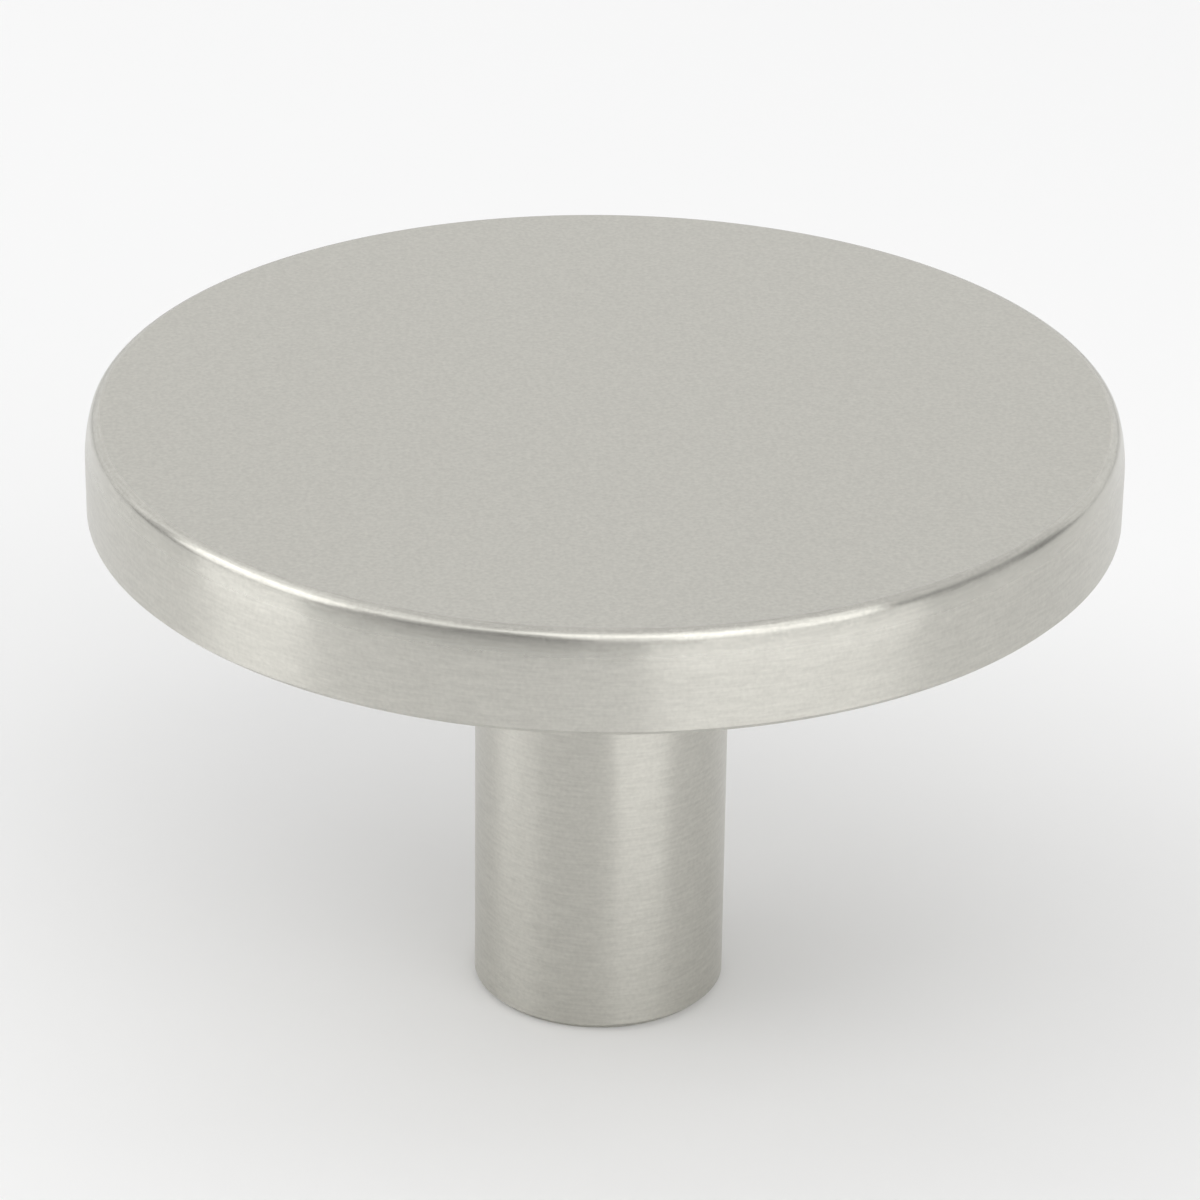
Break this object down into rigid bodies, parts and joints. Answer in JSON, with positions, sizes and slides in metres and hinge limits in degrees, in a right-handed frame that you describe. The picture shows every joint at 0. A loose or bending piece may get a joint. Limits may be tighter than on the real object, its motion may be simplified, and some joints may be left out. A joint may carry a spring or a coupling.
{
  "type": "cabinet knob",
  "caption": "Flat round disc head on a straight cylindrical stem, satin brushed metal, with a tapped hole in the foot for a screw through a door or drawer front.",
  "frame": {"origin": "middle of the stem's foot, the face that seats on the door or drawer front", "axes": "+Z along the knob's axis, from the foot out to the front face of the head; X and Y are alike"},
  "size_m": [0.04, 0.04, 0.025],
  "materials": {
    "brushed_nickel": "satin"
  },
  "bodies": {
    "root": {"knob": "brushed_nickel"}
  },
  "joints": []
}
